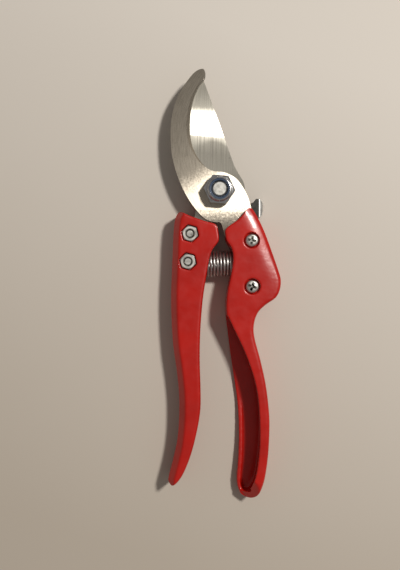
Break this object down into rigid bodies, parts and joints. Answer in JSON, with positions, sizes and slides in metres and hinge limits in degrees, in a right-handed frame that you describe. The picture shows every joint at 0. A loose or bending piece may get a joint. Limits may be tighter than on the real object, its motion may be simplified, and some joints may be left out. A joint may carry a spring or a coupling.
{
  "type": "bypass pruning shears",
  "caption": "Hand pruning shears with a hooked counter blade, a curved cutting blade, two coated cast handles, a coil spring and a thumb catch.",
  "frame": {"origin": "centre of the outline seen from the front, on the surface it lies on", "axes": "+Y from the handles to the blade tips, +Z from the surface to the pivot nut's side"},
  "size_m": [0.0533, 0.2054, 0.0209],
  "materials": {
    "red_coat": "glossy coating over a casting",
    "blade_steel": "satin ground",
    "cutting_steel": "brushed along the blade",
    "plated_bolt": "bright plating",
    "plated_nut": "bright plating",
    "blue_insert": "matt",
    "spring_steel": "drawn wire",
    "catch_steel": "pressed plate"
  },
  "bodies": {
    "fixed_half": {"right_handle": "red_coat", "counter_blade": "blade_steel", "pivot_bolt": "plated_bolt", "pivot_washer": "plated_bolt", "pivot_nut": "plated_nut", "nut_insert": "blue_insert", "handle_bolt_upper": "plated_bolt", "handle_bolt_lower": "plated_bolt", "handle_nut_upper": "plated_nut", "handle_nut_lower": "plated_nut", "main_spring": "spring_steel", "catch_screw": "plated_bolt", "catch_washer": "plated_bolt"},
    "moving_half": {"left_handle": "red_coat", "cutting_blade": "cutting_steel", "blade_bolt_upper": "plated_bolt", "blade_bolt_lower": "plated_bolt", "blade_nut_upper": "plated_nut", "blade_nut_lower": "plated_nut"},
    "catch": {"thumb_catch": "catch_steel"}
  },
  "joints": [
    {"name": "blade_pivot", "type": "hinge", "parent": "fixed_half", "child": "moving_half", "pos_m": [-0.0024, 0.0448, 0.008], "axis": [0, 0, -1], "range_deg": [0, 28], "deforming": ["main_spring"]},
    {"name": "catch_pivot", "type": "hinge", "parent": "fixed_half", "child": "catch", "pos_m": [0.0111, 0.0323, 0.008], "axis": [0, 0, -1], "range_deg": [0, 22]}
  ]
}
